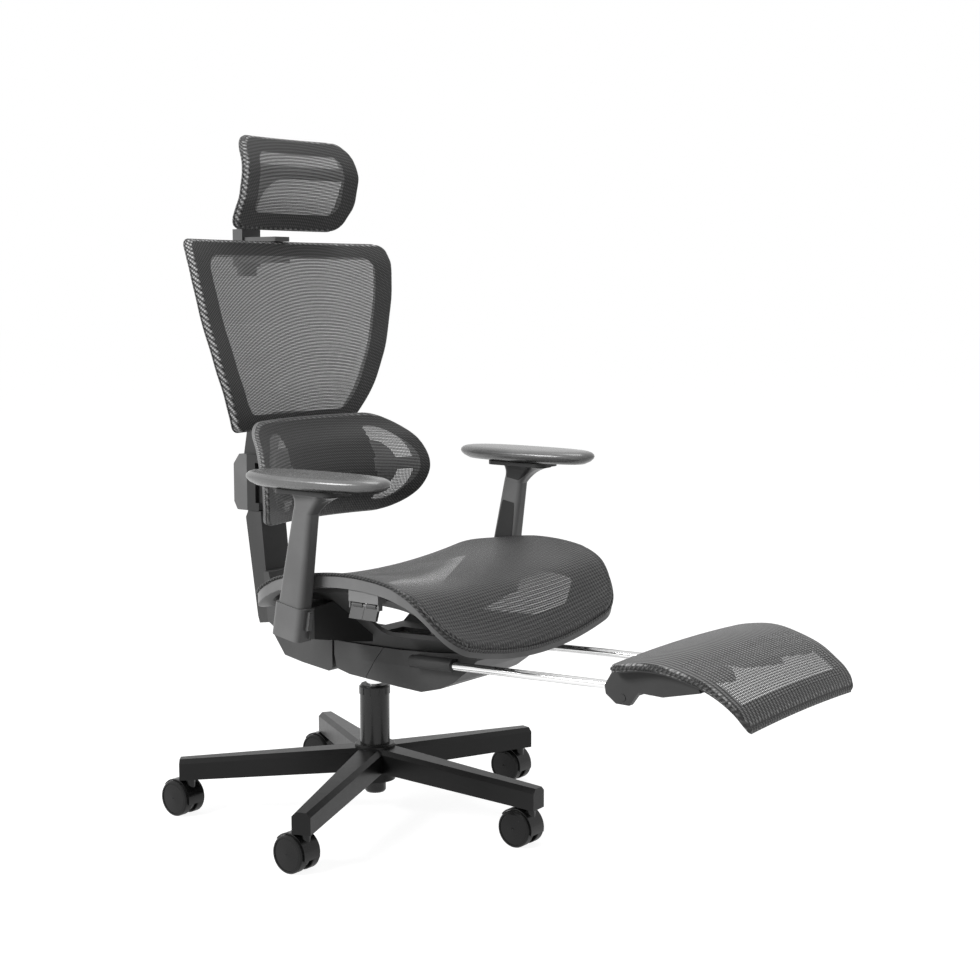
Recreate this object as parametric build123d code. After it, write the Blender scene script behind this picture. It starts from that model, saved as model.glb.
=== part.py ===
"""Reclining office chair with a mesh seat, back, lumbar pad and headrest, and a sliding footrest.

Millimetres, +Z up.  The origin is on the floor, on the axis of the gas lift.  The sitter looks along -Y,
so the sitter's left side is +X.  The gas lift is at its lowest, the back is upright and the footrest is out.
"""
from build123d import *
from math import cos, radians, sin, tan
import os

# ---- clearances -------------------------------------------------------------------------------------
run_fit = 0.05          # radial play of a shaft or a rod in its bore
seat_gap = 0.3          # between curved faces that seat on each other
slide_gap = 0.5         # round a bar in a moulded sleeve

# ---- five-star base ---------------------------------------------------------------------------------
arm_count = 5
first_arm_deg = 129.0
castor_circle_r = 312.0
base_tip_r = 328.0
hub_r = 34.0
hub_top = 124.0
hub_bottom = 62.0
base_root_top = 119.0
base_root_bottom = 80.0
base_tip_top = 99.0
base_tip_bottom = 64.0
base_root_w = 48.0
base_tip_w = 31.0
base_chamfer = 7.0
base_wall = 4.0
base_rib_pitch = 46.0

# ---- twin-wheel castors -----------------------------------------------------------------------------
wheel_r = 30.0
wheel_w = 17.0
wheel_gap = 12.0        # between the two wheels of one castor
castor_trail = 18.0
castor_stem_r = 5.5
castor_axle_r = 4.0
hood_web = 9.0
hood_w = 34.0
hood_wall = 2.2
hood_play = 0.8         # between the tread and the hood

# ---- gas lift ---------------------------------------------------------------------------------------
lift_tube_r = 25.0
lift_tube_top = 222.0
lift_tube_bottom = 40.0
lift_taper_drop = 3.5   # how much the tube narrows inside the hub
lift_bore_r = 20.0
lift_rod_r = 14.0
lift_rod_bottom = 75.0
lift_bush_len = 70.0

# ---- tilt mechanism ---------------------------------------------------------------------------------
housing_half = 86.0
housing_rear = 12.0
housing_top_rear = 312.0
housing_top_front = 329.0
housing_front = -283.0
housing_wall = 3.0
housing_low = 248.0     # lowest point of the belly
housing_flat = 258.0    # underside round the gas lift
boss_r = 18.5
pivot_y = -45.0
pivot_z = 288.0
tilt_shaft_r = 7.0
ear_x = 40.0            # middle of each ear of the back carrier
ear_w = 10.0
cheek_x = 52.0          # middle of each cheek of the mechanism frame
cheek_w = 6.0
cover_seam = 0.8
cover_gap = 0.6         # between the covers and the tray above them
tilt_slot = 12.0        # between the fixed belly and the back carrier

# ---- seat -------------------------------------------------------------------------------------------
seat_half = 250.0
seat_rear = 78.0
seat_front = -345.0
seat_rear_half = 228.0
seat_front_half = 238.0
seat_rear_corner = 62.0
seat_front_corner = 66.0
seat_rail_w = 24.0
seat_rail_t = 20.0
mesh_t = 2.7
tray_t = 7.0
tray_outer_x = 228.0

# ---- controls under the seat's right rail -----------------------------------------------------------
control_y = -194.0
control_len = 58.0
lug_w = 2.0
control_h = 17.0
paddle_h = 20.0
paddle_t = 5.0
paddle_pin_r = 2.5

# ---- armrests ---------------------------------------------------------------------------------------
arm_x = 266.0
arm_foot_y = -74.0
arm_foot_z = 408.0
arm_lean_deg = 9.8
arm_post_len = 182.0
arm_post_depth = 50.0   # front to back at the foot
arm_post_width = 30.0
arm_neck_depth = 38.0
arm_neck_width = 26.0
arm_flare_depth = 104.0
arm_flare_width = 56.0
arm_bar_depth = 26.0
arm_bar_width = 12.0
arm_travel = 70.0
arm_collar_h = 52.0
arm_collar_depth = 57.0
arm_collar_width = 36.0
arm_button_h = 30.0
arm_button_w = 8.0
pad_len = 272.0
pad_w = 98.0
pad_t = 24.0
pad_mid_y = -121.0
pad_plate_t = 7.0
pad_plate_len = 120.0
pad_plate_w = 60.0
pad_pin_r = 8.0
pad_pin_setback = 8.0     # how far the pin of the swivel lies behind the middle of the pad

# ---- back -------------------------------------------------------------------------------------------
spine_half = 30.0
spine_foot_y = 212.0
spine_foot_z = 309.0
spine_top_y = 232.0
spine_top_z = 501.0
spine_t = 30.0
spine_bar_half = 17.0
spine_bar_t = 14.0
screw_r = 4.0
screw_head_r = 6.5
block_h = 98.0
block_half = 32.0
block_depth = 60.0
back_top = 962.0
back_bottom = 648.0
back_top_half = 240.0
back_flank_half = 215.5
back_waist_half = 164.0
back_bottom_half = 138.0
back_rim = 26.0
back_frame_t = 14.0
back_hollow = 26.0      # how much further back the middle of the back lies than its edges

# ---- lumbar pad -------------------------------------------------------------------------------------
lumbar_half = 204.0
lumbar_top = 667.0
lumbar_bottom = 498.0
lumbar_mid_y = 95.0
lumbar_wrap = 54.0      # how far the ends come forward
lumbar_rim = 20.0
lumbar_frame_t = 11.0
lumbar_pivot_z = 572.0
lumbar_pin_r = 4.0

# ---- headrest ---------------------------------------------------------------------------------------
head_top = 1133.0
head_bottom = 984.0
head_half = 133.0
head_hollow = 14.0
head_rim = 22.0
head_frame_t = 12.0
stem_half = 17.0
stem_t = 13.0
stem_y = 292.0
head_travel = 45.0
sleeve_low = 922.0      # the sleeve that the stem slides in
sleeve_top = 986.0
sleeve_wall = 5.0
head_pivot_y = 214.0
head_pivot_z = 1078.0
head_pin_r = 4.0

# ---- footrest ---------------------------------------------------------------------------------------
rod_x = 101.0
rod_r = 6.5
rod_rise_deg = 2.2
socket_y = -249.0
socket_z = 306.0
socket_len = 83.0
socket_r = 10.0
foot_pivot_y = -600.0
foot_shaft_r = 5.0
foot_shaft_half = 166.0
foot_rear_half = 188.0
foot_front_half = 162.0
foot_rear = -590.0
foot_front = -794.0
foot_frame_t = 9.0
foot_tray_front = -676.0
foot_rim = 18.0


# ---- shared shapes ----------------------------------------------------------------------------------
def span(x0, x1, y0, y1, z0, z1):
    """A block between two corners."""
    size = Box(abs(x1 - x0), abs(y1 - y0), abs(z1 - z0))
    return Pos((x0 + x1) / 2, (y0 + y1) / 2, (z0 + z1) / 2) * size


def bar_x(radius, x0, x1, y, z):
    """A round bar across the chair."""
    return Pos((x0 + x1) / 2, y, z) * Rot(0, 90, 0) * Cylinder(radius, abs(x1 - x0))


def bar_z(radius, z0, z1, x=0, y=0):
    """A round upright bar."""
    return Pos(x, y, (z0 + z1) / 2) * Cylinder(radius, abs(z1 - z0))


def outline(points, radius=0.0, plane=Plane.YZ):
    """A closed polygon on a plane, with its corners rounded."""
    face = make_face(Polyline(*points, close=True))
    if radius:
        face = fillet(face.vertices(), radius)
    return plane * face


def side_plate(points, x0, x1, radius=0.0):
    """A side view, given as (y, z) points, made solid between two places across the chair."""
    plate = extrude(outline(points, radius), amount=abs(x1 - x0))
    return Pos(min(x0, x1), 0, 0) * plate


def turned(points, axis=Axis.Z):
    """A body of revolution about Z from (r, z) points."""
    return revolve(Plane.XZ * make_face(Polyline(*points, close=True)), axis, 360)


def sheet(stations, curve, shift, first, last):
    """A curved sheet: a loft across the chair through one section per station.

    curve(x) gives the (y, z) points of the shown surface; first and last are how far behind it the sheet
    starts and ends, along shift, a (y, z) direction."""
    wires = []
    for x in stations:
        shown = [Vector(x, y + shift[0] * first, z + shift[1] * first) for y, z in curve(x)]
        behind = [Vector(x, y + shift[0] * last, z + shift[1] * last) for y, z in curve(x)]
        wires.append(Wire([Edge.make_spline(shown), Edge.make_line(shown[-1], behind[-1]),
                           Edge.make_spline(behind), Edge.make_line(behind[0], shown[0])]))
    return Solid.make_loft(wires)


def both_sides(shape):
    """The shape and its mirror image across the chair."""
    return [shape, mirror(shape, about=Plane.YZ)]


def only_solid(shape):
    """The largest solid of a shape."""
    return max(shape.solids(), key=lambda solid: solid.volume)


parts = {}

# ---- five-star base: a ribbed nylon moulding, open underneath ---------------------------------------
def arm_section(x, width, low, high, inset=0.0):
    """The section of one arm at a distance from the hub: a box with chamfered upper edges."""
    half = width / 2 - inset
    top = high - inset
    cut = base_chamfer - inset / 2
    corners = [(-half, low), (half, low), (half, top - cut), (half - cut, top), (cut - half, top),
               (-half, top - cut)]
    return Plane(origin=(x, 0, 0), x_dir=(0, 1, 0), z_dir=(1, 0, 0)) * make_face(Polyline(*corners, close=True))


def base_arm():
    """One arm along +X, with its castor boss and its ribs."""
    root_x, tip_x = hub_r * 0.6, base_tip_r
    body = loft([arm_section(root_x, base_root_w, base_root_bottom, base_root_top),
                 arm_section(tip_x, base_tip_w, base_tip_bottom, base_tip_top)], ruled=True)
    pocket = loft([arm_section(root_x, base_root_w, base_root_bottom - 20, base_root_top, base_wall),
                   arm_section(tip_x, base_tip_w, base_tip_bottom - 20, base_tip_top, base_wall)], ruled=True)
    boss_end = castor_circle_r - base_tip_w / 2
    pocket = pocket & span(hub_r + base_wall, boss_end, -base_root_w, base_root_w, 0, base_root_top)
    arm = body - pocket
    rib_x = hub_r + base_rib_pitch
    while rib_x < boss_end - base_rib_pitch / 2:
        rib = span(rib_x, rib_x + base_wall / 2, -base_root_w / 2, base_root_w / 2,
                   base_tip_bottom + 6, base_root_top)
        arm += rib & body
        rib_x += base_rib_pitch
    return arm - bar_z(castor_stem_r + run_fit, 0, base_tip_top - base_wall, castor_circle_r)


taper_low = hub_bottom + 4
lift_low_r = lift_tube_r - lift_taper_drop
hub = bar_z(hub_r, hub_bottom, hub_top)
arm = base_arm()
star = hub
for number in range(arm_count):
    star += Rot(0, 0, first_arm_deg + number * 360 / arm_count) * arm
star -= turned([(0, 0), (lift_low_r + run_fit, 0), (lift_low_r + run_fit, taper_low),
                (lift_tube_r + run_fit, hub_top), (lift_tube_r + run_fit, hub_top + 10), (0, hub_top + 10)])
star = chamfer(star.edges().filter_by(GeomType.CIRCLE).group_by(Axis.Z)[-1].sort_by(SortBy.RADIUS)[-1:], 2)
parts["star_base"] = star

# ---- castors ----------------------------------------------------------------------------------------
stem_top = base_tip_top - base_wall - 2
wheel_in = wheel_gap / 2
wheel_out = wheel_in + wheel_w
hood_r = wheel_r + hood_play + hood_wall


def castor_hood():
    """The hood of a castor with its stem; the stem is on the Z axis and the wheels trail towards +Y."""
    web = extrude(Plane.YZ * (Pos(castor_trail, wheel_r) * Circle(wheel_r - 4)), amount=hood_web / 2, both=True)
    web += span(-hood_web / 2, hood_web / 2, -castor_stem_r - 3, castor_trail, wheel_r, wheel_r + 24)
    ring = Pos(castor_trail, wheel_r) * (Circle(hood_r) - Circle(wheel_r + hood_play))
    reach = 2 * hood_r
    keep = Pos(castor_trail, wheel_r) * make_face(Polyline(
        (0, 0), (reach * cos(radians(38)), reach * sin(radians(38))), (0, reach), (-reach, reach),
        (-reach, -reach * tan(radians(12))), close=True))
    cover = extrude(Plane.YZ * (ring & keep), amount=hood_w / 2, both=True)
    web &= extrude(Plane.YZ * (Pos(castor_trail, wheel_r) * Circle(hood_r)), amount=hood_web, both=True)
    collar = bar_z(castor_stem_r + 3, wheel_r + 10, base_tip_bottom - seat_gap)
    collar -= bar_x(wheel_r + hood_play, -hood_w, hood_w, castor_trail, wheel_r)
    stem = bar_z(castor_stem_r, base_tip_bottom - 4, stem_top)
    hood = web + cover + collar + stem
    return hood - bar_x(castor_axle_r + run_fit, -hood_w, hood_w, castor_trail, wheel_r)


def castor_wheel():
    """One wheel about the X axis, from its inner face to its capped outer face."""
    blind = wheel_out - 5
    rim = [(wheel_in, castor_axle_r + run_fit), (wheel_in, 8), (wheel_in + 3, 8), (wheel_in + 3, wheel_r - 6),
           (wheel_in + 0.5, wheel_r - 6), (wheel_in + 0.5, wheel_r - 1), (wheel_in + 1.5, wheel_r),
           (wheel_out - 3, wheel_r), (wheel_out - 0.8, wheel_r - 1.6), (wheel_out - 0.4, wheel_r - 4),
           (wheel_out - 1.6, wheel_r - 4.6), (wheel_out - 1.2, wheel_r - 6.5), (wheel_out, 0), (blind, 0),
           (blind, castor_axle_r + run_fit)]
    return revolve(Plane.XY * make_face(Polyline(*rim, close=True)), Axis.X, 360)


wheel = Pos(0, castor_trail, wheel_r) * castor_wheel()
axle = bar_x(castor_axle_r, 5.2 - wheel_out, wheel_out - 5.2, castor_trail, wheel_r)
hood = castor_hood()
for number in range(arm_count):
    turn = radians(first_arm_deg + number * 360 / arm_count)
    place = Pos(castor_circle_r * cos(turn), castor_circle_r * sin(turn), 0)
    parts[f"castor_{number + 1}_hood"] = place * hood
    parts[f"castor_{number + 1}_wheels"] = place * Compound(children=[*both_sides(wheel), axle])

# ---- gas lift: outer tube in the base, bush, and the gas cylinder that rises ------------------------
parts["gas_lift_tube"] = turned([
    (0, lift_tube_bottom), (16, lift_tube_bottom), (18, lift_tube_bottom + 3), (18, hub_bottom - 2),
    (lift_low_r, hub_bottom - 2), (lift_low_r, taper_low), (lift_tube_r, hub_top), (lift_tube_r, lift_tube_top),
    (lift_bore_r, lift_tube_top), (lift_bore_r, hub_bottom + 4), (0, hub_bottom + 4)])
bush_low = lift_tube_top - lift_bush_len
parts["gas_lift_bush"] = turned([
    (lift_rod_r + run_fit, bush_low), (lift_bore_r - run_fit, bush_low), (lift_bore_r - run_fit, lift_tube_top),
    (lift_tube_r - 1, lift_tube_top), (lift_tube_r - 2, lift_tube_top + 3), (lift_rod_r + run_fit, lift_tube_top + 3)])
lift_cone_low = housing_flat - 14
lift_cone_top = housing_top_rear - 8
lift_cone_r = lift_rod_r - 1.2
parts["gas_lift_rod"] = turned([
    (0, lift_rod_bottom), (lift_rod_r, lift_rod_bottom), (lift_rod_r, lift_cone_low), (lift_cone_r, lift_cone_top),
    (4, lift_cone_top), (4, lift_cone_top + 5), (0, lift_cone_top + 5)])

# ---- tilt mechanism ---------------------------------------------------------------------------------
tray_y = [5.0, -60, -130, -200, -260, -312]
tray_under_z = [housing_top_rear, housing_top_rear + 0.5, housing_top_rear + 2, housing_top_rear + 6,
                housing_top_rear + 12, housing_top_front + 2]


def between(points, y):
    """The height at y of a line of (y, z) points that runs forward."""
    for (y0, z0), (y1, z1) in zip(points[:-1], points[1:]):
        if y1 <= y <= y0:
            return z0 + (z1 - z0) * (y0 - y) / (y0 - y1)
    return points[0][1] if y > points[0][0] else points[-1][1]


tray_under = list(zip(tray_y, tray_under_z))


def housing_profile(inset=0.0):
    """Side view of the belly under the seat."""
    low = housing_low + inset
    flat = housing_flat + inset
    front = housing_front + inset
    under = [(y, z - cover_gap) for y, z in reversed(tray_under) if housing_front < y < housing_rear]
    points = [(housing_rear - inset, housing_top_rear - cover_gap), (housing_rear - inset, flat + 6),
              (pivot_y + 30, flat - 1), (-120, low + 2), (-165, low), (-205, low + 11), (-236, low + 26),
              (-262, low + 46), (front, housing_top_front - 14),
              (front, between(tray_under, front) - cover_gap)]
    return points + under


outer_belly = side_plate(housing_profile(), -housing_half, housing_half)
corner_cut = extrude(Plane.XZ * make_face(Polyline(
    (housing_half - 16, housing_low - 30), (housing_half + 30, housing_low - 30),
    (housing_half + 30, housing_low + 48), (housing_half + 2, housing_low + 48), close=True)), amount=400, both=True)
inner_cut = Pos(-housing_wall * 1.2, 0, 0) * corner_cut
belly = outer_belly - both_sides(corner_cut)
hollow_half = housing_half - housing_wall
hollow = side_plate(housing_profile(housing_wall), -hollow_half, hollow_half) - both_sides(inner_cut)
ear_slot = span(ear_x - ear_w / 2 - 1.5, ear_x + ear_w / 2 + 1.5, pivot_y + 20, housing_rear + 5,
                housing_low - 10, housing_top_front)
belly = belly - hollow - both_sides(ear_slot)
belly -= bar_z(lift_rod_r + 4, housing_low - 10, housing_top_rear)
belly -= bar_z(boss_r + seat_gap, housing_flat + 5.5, housing_top_front)
seam_plane = Plane(origin=(0, pivot_y - 22, housing_flat + 20), x_dir=(1, 0, 0), z_dir=(0, 0.78, 0.62))
half_space = Box(600, 600, 600, align=(Align.CENTER, Align.CENTER, Align.MIN))
parts["mechanism_cover_rear"] = only_solid(belly & (seam_plane.offset(cover_seam / 2) * half_space))
parts["mechanism_cover_front"] = only_solid(belly - (seam_plane.offset(-cover_seam / 2) * half_space))

frame_plate_t = 6.0
frame_low = housing_top_rear - frame_plate_t
cheek = side_plate([(pivot_y + 26, frame_low), (pivot_y + 13, pivot_z - 12), (pivot_y - 13, pivot_z - 12),
                    (pivot_y - 60, frame_low)], cheek_x - cheek_w / 2, cheek_x + cheek_w / 2)
mechanism = span(-cheek_x - cheek_w / 2, cheek_x + cheek_w / 2, -150, housing_rear - 8, frame_low, housing_top_rear)
mechanism += both_sides(cheek)
mechanism += bar_z(boss_r, housing_flat + 6, frame_low)
mechanism -= both_sides(bar_x(tilt_shaft_r + run_fit, cheek_x - 10, cheek_x + 10, pivot_y, pivot_z))
mechanism -= turned([(0, 200), (lift_rod_r + run_fit, 200), (lift_rod_r + run_fit, lift_cone_low),
                     (lift_cone_r + run_fit, lift_cone_top), (lift_cone_r + run_fit, 330), (0, 330)])
mechanism -= both_sides(span(ear_x - ear_w / 2 - 1, ear_x + ear_w / 2 + 1, pivot_y + 15, housing_rear,
                             frame_low - 1, housing_top_rear - 2))
parts["mechanism_frame"] = mechanism
shaft_end = cheek_x + cheek_w / 2 + 6
parts["tilt_shaft"] = bar_x(tilt_shaft_r, -shaft_end, shaft_end, pivot_y, pivot_z)
spring_half = ear_x - ear_w / 2 - 4
parts["torsion_spring"] = (bar_x(tilt_shaft_r + 8, -spring_half, spring_half, pivot_y, pivot_z)
                           - bar_x(tilt_shaft_r + seat_gap, -60, 60, pivot_y, pivot_z))

# ---- seat: rail ring, mesh and the moulded tray that carries them -----------------------------------
seat_y = [seat_rear, 40, 0, -60, -130, -200, -260, -300, -325, seat_front]
rail_z = [400, 420, 440, 452, 460, 460, 450, 430, 405, 388]
seat_dish = [10, 16, 20, 24, 24, 22, 18, 22, 36, 45]


def seat_curve(x):
    """The top of the seat along the chair, at a place across it."""
    middle = 1 - (x / seat_half) ** 2
    return [(y, z - dish * middle) for y, z, dish in zip(seat_y, rail_z, seat_dish)]


seat_stations = [seat_half * share for share in (-1.04, -0.7, -0.35, 0, 0.35, 0.7, 1.04)]
down = (0, -1)
seat_corners = [(seat_rear_half, seat_rear - 4), (seat_half, -150), (seat_half, -262), (seat_front_half, seat_front + 2),
                (-seat_front_half, seat_front + 2), (-seat_half, -262), (-seat_half, -150), (-seat_rear_half, seat_rear - 4)]


def seat_plan(inset=0.0):
    """The seat seen from above."""
    face = make_face(Polyline(*seat_corners, close=True))
    corners = face.vertices().group_by(Axis.Y)
    face = fillet(corners[-1], seat_rear_corner)
    face = fillet(face.vertices().group_by(Axis.Y)[0], seat_front_corner)
    return offset(face, -inset) if inset else face


seat_prism = Pos(0, 0, 300) * extrude(seat_plan(), amount=200)
seat_window = Pos(0, 0, 290) * extrude(seat_plan(seat_rail_w), amount=220)
rail_slab = sheet(seat_stations, seat_curve, down, mesh_t + seat_gap, mesh_t + seat_gap + seat_rail_t)
mesh_slab = sheet(seat_stations, seat_curve, down, 0, mesh_t)
parts["seat_frame"] = only_solid((seat_prism - seat_window) & rail_slab)
parts["seat_mesh"] = only_solid(seat_prism & mesh_slab)

tray_drop = mesh_t + 2 * seat_gap + seat_rail_t


def rail_height(x, y):
    """The seat's top at one place, read between the points of its curve."""
    return between(seat_curve(x), y)


def tray_strip(x, heights):
    """A thin strip along the chair: one edge of a wing of the tray."""
    top = [Vector(x, y, z) for y, z in zip(tray_y, heights)]
    low = [Vector(x, y, z - tray_t) for y, z in zip(tray_y, heights)]
    return Wire([Edge.make_spline(top), Edge.make_line(top[-1], low[-1]), Edge.make_spline(low),
                 Edge.make_line(low[0], top[0])])


wing_inner_x = housing_half - 4
inner_heights = [z + tray_t for z in tray_under_z]
outer_heights = [rail_height(tray_outer_x, y) - tray_drop - seat_gap for y in tray_y]
wing = Solid.make_loft([tray_strip(wing_inner_x, inner_heights), tray_strip(tray_outer_x, outer_heights)])


def wing_low(x, y):
    """The underside of a wing of the tray."""
    share = (x - wing_inner_x) / (tray_outer_x - wing_inner_x)
    outer = rail_height(tray_outer_x, y) - tray_drop - seat_gap - tray_t
    return between(tray_under, y) * (1 - share) + outer * share


window_plan = fillet(make_face(Polyline((118, -128), (206, -128), (206, -262), (150, -285), (118, -262),
                                        close=True)).vertices(), 18)
wing_window = Pos(0, 0, 250) * extrude(window_plan, amount=260)
rear_relief = fillet(make_face(Polyline((112, 40), (270, 40), (270, -22), (190, -14), (112, -4),
                                        close=True)).vertices().sort_by(Axis.Y)[0:2], 10)
wing = wing - wing_window - (Pos(0, 0, 250) * extrude(rear_relief, amount=260))
wing = only_solid(wing)
floor_strip = [(y, z + tray_t) for y, z in tray_under] + list(reversed(tray_under))
tray_floor = side_plate(floor_strip, -wing_inner_x, wing_inner_x)
tray_floor -= span(-40, 40, -110, -30, 250, 400)
parts["seat_tray"] = tray_floor + both_sides(wing)

# ---- controls ---------------------------------------------------------------------------------------
control_top = rail_height(seat_half, control_y) - tray_drop + seat_gap
control_in = -tray_outer_x - seat_gap
control_out = -seat_half + 3
control_rear = control_y + control_len / 2
control_ahead = control_y - control_len / 2
control = span(control_out, control_in, control_ahead, control_rear, control_top - control_h, control_top + 12)
control = control - sheet(seat_stations, seat_curve, down, -30, mesh_t + seat_rail_t + 2 * seat_gap)
knuckle_z = control_top - control_h - paddle_pin_r - 2 - slide_gap
knuckle_x = control_out + 6
paddle_len = control_len / 2 - lug_w - 1
paddle_step = paddle_len / 2 + seat_gap


def paddle(middle):
    """One lever hinged under the control block: a knuckle with a flared plate."""
    plate = outline([(knuckle_x - 2, knuckle_z), (knuckle_x - 9, knuckle_z - paddle_h),
                     (knuckle_x - 9 + paddle_t, knuckle_z - paddle_h - 1), (knuckle_x + 3, knuckle_z)], 0, Plane.XZ)
    plate = Pos(0, middle, 0) * extrude(plate, amount=paddle_len / 2, both=True)
    knuckle = Pos(knuckle_x, middle, knuckle_z) * Rot(90, 0, 0) * Cylinder(paddle_pin_r + 2, paddle_len * 0.72)
    bore = Pos(knuckle_x, middle, knuckle_z) * Rot(90, 0, 0) * Cylinder(paddle_pin_r + run_fit, control_len)
    return plate + knuckle - bore


hinge_pin = Pos(knuckle_x, control_y, knuckle_z) * Rot(90, 0, 0) * Cylinder(paddle_pin_r, control_len - 1)
lug = Pos(knuckle_x, 0, 0) * Box(2 * paddle_pin_r + 4, lug_w, 2 * paddle_pin_r + 9)
lugs = [Pos(0, y, knuckle_z + 2) * lug for y in (control_ahead + lug_w / 2, control_rear - lug_w / 2)]
parts["control_block"] = control + lugs + hinge_pin
parts["height_paddle"] = paddle(control_y + paddle_step)
parts["recline_paddle"] = paddle(control_y - paddle_step)

# ---- armrests ---------------------------------------------------------------------------------------
def arm_local():
    """The frame of the left arm's post: its origin at the foot, its Z axis up the leaning post."""
    return Pos(arm_x, arm_foot_y, arm_foot_z) * Rot(arm_lean_deg, 0, 0)


def ring_face(depth, width, height, corner):
    """A rounded rectangle across a post, at a height up it."""
    return Pos(0, 0, height) * RectangleRounded(width, depth, corner)


neck_at = arm_post_len * 0.80
flare_at = arm_post_len
flare_shift = Pos(0, -8, 0)
post = loft([ring_face(arm_post_depth, arm_post_width, 0.0, 9), ring_face(arm_neck_depth, arm_neck_width, neck_at, 8)])
post += loft([ring_face(arm_neck_depth, arm_neck_width, neck_at, 8),
              flare_shift * ring_face(arm_flare_depth * 0.62, arm_flare_width * 0.7, neck_at + (flare_at - neck_at) * 0.72, 12),
              flare_shift * ring_face(arm_flare_depth, arm_flare_width, flare_at, 20)])
post = arm_local() * post
flat_top = arm_foot_z + arm_post_len * cos(radians(arm_lean_deg)) - arm_flare_depth / 2 * sin(radians(arm_lean_deg)) + 1
post = post & span(0, 400, -400, 200, 0, flat_top)
bar_len = arm_travel + 58
slot = arm_local() * Pos(0, 0, bar_len / 2 - 1) * Box(
    arm_bar_width + 2 * slide_gap, arm_bar_depth + 2 * slide_gap, bar_len + 10)
post = post - slot
pad_plate_low = flat_top + seat_gap
pad_low = pad_plate_low + pad_plate_t + seat_gap
pin_y = pad_mid_y + pad_pin_setback
post += bar_z(pad_pin_r, flat_top - 3, pad_plate_low + pad_plate_t - 1, arm_x, pin_y)
arm_post = only_solid(post)

bar = arm_local() * Pos(0, 0, bar_len / 2 - 30) * Box(arm_bar_width, arm_bar_depth, bar_len + 20)
collar = arm_local() * (Pos(0, 0, -seat_gap - arm_collar_h / 2)
                        * extrude(RectangleRounded(arm_collar_width, arm_collar_depth, 9), arm_collar_h / 2, both=True))
collar_low = arm_foot_z - arm_collar_h
shelf_y = arm_foot_y + 8
shelf_out, shelf_in, shelf_bite = tray_outer_x - 20, wing_inner_x + 36, 3
shelf = extrude(outline([(arm_x - 4, arm_foot_z - 6), (arm_x - 4, collar_low), (shelf_in + 44, collar_low - 20),
                         (shelf_in, wing_low(shelf_in, shelf_y) - 10), (shelf_in, wing_low(shelf_in, shelf_y) + shelf_bite),
                         (shelf_out, wing_low(shelf_out, shelf_y) + shelf_bite)], 0, Plane.XZ), amount=34, both=True)
shelf = Pos(0, shelf_y, 0) * shelf
bracket = collar + shelf
bracket = bracket - wing - (Pos(0, 0, -seat_gap) * wing) - bar
button_y = -arm_collar_depth / 2 + 1
button_hole = arm_local() * Pos(0, button_y, -arm_button_h / 2 - 4) * Box(
    arm_button_w + 2 * seat_gap, 12 + 2 * seat_gap, arm_button_h + 2 * seat_gap)
bracket = only_solid(bracket - button_hole)
button = arm_local() * Pos(0, button_y - 3, -arm_button_h / 2 - 4) * Box(arm_button_w, 8, arm_button_h)
button = fillet(button.edges().filter_by(Axis.X).sort_by(Axis.Y)[:2], 2)
plate = Pos(arm_x, pin_y, pad_plate_low + pad_plate_t / 2) * extrude(
    RectangleRounded(pad_plate_w, pad_plate_len, 18), pad_plate_t / 2, both=True)
plate -= bar_z(pad_pin_r + run_fit, pad_plate_low - 1, pad_plate_low + pad_plate_t + 1, arm_x, pin_y)
pad_face = RectangleRounded(pad_w, pad_len, pad_w / 2 - 1)
pad = Pos(arm_x, pad_mid_y, pad_low) * extrude(pad_face, pad_t)
pad = chamfer(pad.edges().group_by(Axis.Z)[-1], 7, 12)
pad = chamfer(pad.edges().group_by(Axis.Z)[0], 6)
arm_pieces = {"arm_bar": bar, "arm_bracket": bracket, "arm_post": arm_post, "arm_button": button,
              "pad_plate": plate, "arm_pad": pad}
for piece, shape in arm_pieces.items():
    parts[f"{piece}_left"], parts[f"{piece}_right"] = both_sides(shape)

# ---- back carrier and spine -------------------------------------------------------------------------
carrier_front = housing_rear + tilt_slot
carrier_half = 78.0
carrier_top = housing_top_rear - 4


def spine_y(z):
    """The front face of the spine at a height."""
    return spine_foot_y + (spine_top_y - spine_foot_y) * (z - spine_foot_z) / (spine_top_z - spine_foot_z)


wedge = side_plate([(carrier_front, carrier_top), (carrier_front, 262), (carrier_front + 8, 256), (92, 263),
                    (132, 270), (158, carrier_top - 4), (154, carrier_top)], -carrier_half, carrier_half)
wedge_hollow = side_plate([(carrier_front + 4, carrier_top + 5), (carrier_front + 4, 262), (92, 267),
                           (129, 274), (148, carrier_top + 5)], -carrier_half + 4, carrier_half - 4)
fork_gap = span(-lift_tube_r - 6, lift_tube_r + 6, carrier_front - 5, carrier_front + 40, housing_low, carrier_top + 5)
ear = side_plate([(pivot_y - 12, pivot_z - 4), (pivot_y - 6, pivot_z - 12), (pivot_y + 10, pivot_z - 13),
                  (carrier_front + 40, pivot_z - 18), (carrier_front + 40, carrier_top - 1), (pivot_y + 30, frame_low - 4),
                  (pivot_y - 6, pivot_z + 11)], ear_x - ear_w / 2, ear_x + ear_w / 2)
riser_low = spine_foot_z + 3
riser_top = 398.0
riser = side_plate([(110, 270), (140, 270), (spine_y(riser_low), riser_low), (spine_y(riser_top), riser_top),
                    (spine_y(riser_top) - 12, riser_top), (spine_y(340) - 24, 340), (110, carrier_top)], -36, 36)
carrier = (wedge - wedge_hollow - fork_gap) + both_sides(ear) + riser
carrier -= bar_x(tilt_shaft_r + run_fit, -200, 200, pivot_y, pivot_z)
parts["back_carrier"] = carrier

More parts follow.
